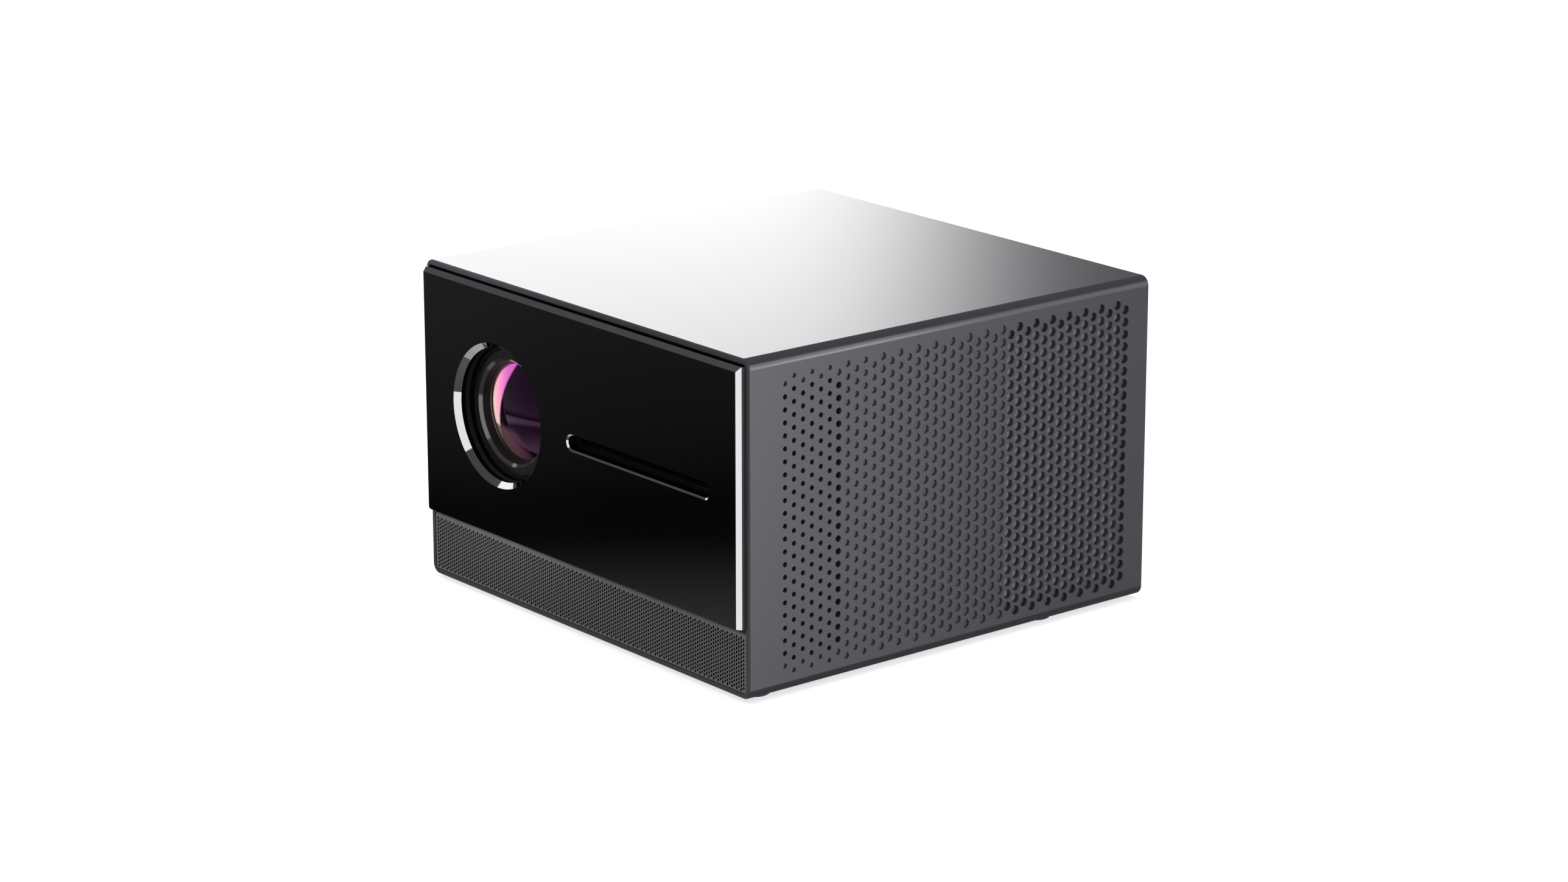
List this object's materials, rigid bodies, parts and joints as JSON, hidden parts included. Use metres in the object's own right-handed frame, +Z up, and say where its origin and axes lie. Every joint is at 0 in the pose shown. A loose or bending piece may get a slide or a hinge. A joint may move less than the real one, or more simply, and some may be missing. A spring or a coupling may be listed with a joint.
{
  "type": "projector with built in dvd player",
  "caption": "Box-shaped video projector with a black glass front, a recessed lens and a slot-loading disc drive beside it, over a speaker strip.",
  "frame": {"origin": "on the resting surface under the feet, below the middle of the projector's length and width", "axes": "+X to the right as seen from the front, +Y from the front to the rear, +Z up"},
  "size_m": [0.29, 0.2894, 0.1878],
  "materials": {
    "case_shell": "satin, fine even grain",
    "filter_foam": "open-cell foam pad",
    "front_frame": "matte moulded",
    "front_glass": "opaque black, polished",
    "speaker_mesh": "satin paint, finely perforated",
    "speaker_basket": "satin paint",
    "speaker_cone": "treated paper",
    "speaker_magnet": "sintered ferrite",
    "lens_tube": "black anodised",
    "barrel": "black anodised, satin",
    "retainer": "turned, dull",
    "front_lens": "polished, purple anti-reflection coating",
    "inner_lens": "polished",
    "bright_steel": "ground",
    "motor_can": "zinc plated",
    "engine_box": "glass-filled, matte",
    "imager": "display panel in a holder",
    "lens_holder": "machined",
    "led_module": "metal-core board",
    "heatsink": "extruded, plain",
    "drive_sheet": "galvanised sheet",
    "posts": "turned",
    "felt": "felt dust curtain",
    "roller_rubber": "soft ground rubber",
    "deck_steel": "stamped sheet",
    "turntable": "moulded",
    "pickup": "moulded",
    "circuit_board": "green solder mask",
    "standoff_brass": "turned",
    "transformer": "wound and taped",
    "fan_plastic": "moulded",
    "rear_panel": "fine grain",
    "port_metal": "tin plated shells",
    "jack_plastic": "moulded",
    "inlet_plastic": "moulded",
    "button_plastic": "polished",
    "screw_steel": "blackened",
    "foot_rubber": "matte"
  },
  "bodies": {
    "case": {"top_cover": "case_shell", "base_cover": "case_shell", "side_panel_left": "case_shell", "side_panel_right": "case_shell", "air_filter_left": "filter_foam", "air_filter_right": "filter_foam", "front_frame": "front_frame", "glass_panel": "front_glass", "speaker_mesh": "speaker_mesh", "speaker_basket_left": "speaker_basket", "speaker_basket_right": "speaker_basket", "speaker_cone_left": "speaker_cone", "speaker_cone_right": "speaker_cone", "speaker_magnet_left": "speaker_magnet", "speaker_magnet_right": "speaker_magnet", "lens_tube": "lens_tube", "rear_lens": "inner_lens", "focus_motor": "motor_can", "engine_box": "engine_box", "engine_lid": "engine_box", "imager_panel": "imager", "condenser_holder": "lens_holder", "condenser_lens": "inner_lens", "led_module": "led_module", "led_heatsink": "heatsink", "drive_shelf": "drive_sheet", "support_posts": "posts", "drive_tray": "drive_sheet", "drive_lid": "drive_sheet", "slot_felt": "felt", "loading_motor": "motor_can", "main_board": "circuit_board", "power_board": "circuit_board", "board_standoffs": "standoff_brass", "power_transformer": "transformer", "chip_heatsink": "heatsink", "exhaust_fan_frame": "fan_plastic", "rear_panel": "rear_panel", "hdmi_ports": "port_metal", "usb_ports": "port_metal", "audio_jack": "jack_plastic", "power_inlet": "inlet_plastic", "button_board": "circuit_board", "case_screws": "screw_steel", "foot_front_left": "foot_rubber", "foot_front_right": "foot_rubber", "foot_rear_left": "foot_rubber", "foot_rear_right": "foot_rubber"},
    "focus_barrel": {"front_barrel": "barrel", "lens_retainer": "retainer", "front_lens": "front_lens"},
    "focus_screw": {"focus_screw": "bright_steel"},
    "traverse": {"traverse_deck": "deck_steel"},
    "turntable": {"turntable": "turntable"},
    "pickup": {"pickup_sled": "pickup"},
    "lead_screw": {"lead_screw": "bright_steel"},
    "feed_roller": {"feed_roller": "roller_rubber"},
    "exhaust_fan": {"exhaust_fan_rotor": "fan_plastic"},
    "power_button": {"power_button": "button_plastic"},
    "eject_button": {"eject_button": "button_plastic"}
  },
  "joints": [
    {"name": "focus_slide", "type": "slide", "parent": "case", "child": "focus_barrel", "axis": [0, -1, 0], "range_m": [-0.002, 0.002]},
    {"name": "focus_screw_turn", "type": "hinge", "parent": "case", "child": "focus_screw", "pos_m": [-0.0265, -0.112, 0.1115], "axis": [0, 1, 0], "range_deg": [-725, 725]},
    {"name": "traverse_lift", "type": "slide", "parent": "case", "child": "traverse", "axis": [0, 0, 1], "range_m": [0, 0.0022]},
    {"name": "disc_spin", "type": "hinge", "parent": "traverse", "child": "turntable", "pos_m": [0.0548, -0.07155, 0.106], "axis": [0, 0, 1], "continuous": true},
    {"name": "pickup_slide", "type": "slide", "parent": "traverse", "child": "pickup", "axis": [0, 1, 0], "range_m": [0, 0.032]},
    {"name": "lead_screw_turn", "type": "hinge", "parent": "traverse", "child": "lead_screw", "pos_m": [0.0798, -0.03, 0.10715], "axis": [0, 1, 0], "range_deg": [-5, 3845]},
    {"name": "feed_roller_turn", "type": "hinge", "parent": "case", "child": "feed_roller", "pos_m": [0.0548, -0.12355, 0.1077], "axis": [1, 0, 0], "continuous": true},
    {"name": "exhaust_fan_turn", "type": "hinge", "parent": "case", "child": "exhaust_fan", "pos_m": [-0.073, 0.13, 0.1115], "axis": [0, 1, 0], "continuous": true},
    {"name": "power_button_press", "type": "slide", "parent": "case", "child": "power_button", "axis": [0, -1, 0], "range_m": [0, 0.0012], "stiffness_N_per_m": 600},
    {"name": "eject_button_press", "type": "slide", "parent": "case", "child": "eject_button", "axis": [0, -1, 0], "range_m": [0, 0.0012], "stiffness_N_per_m": 600}
  ],
  "couplings": [
    {"joint": "focus_screw_turn", "follows": "focus_slide", "rad_per_m": 6283.2},
    {"joint": "lead_screw_turn", "follows": "pickup_slide", "rad_per_m": 2094.4}
  ]
}
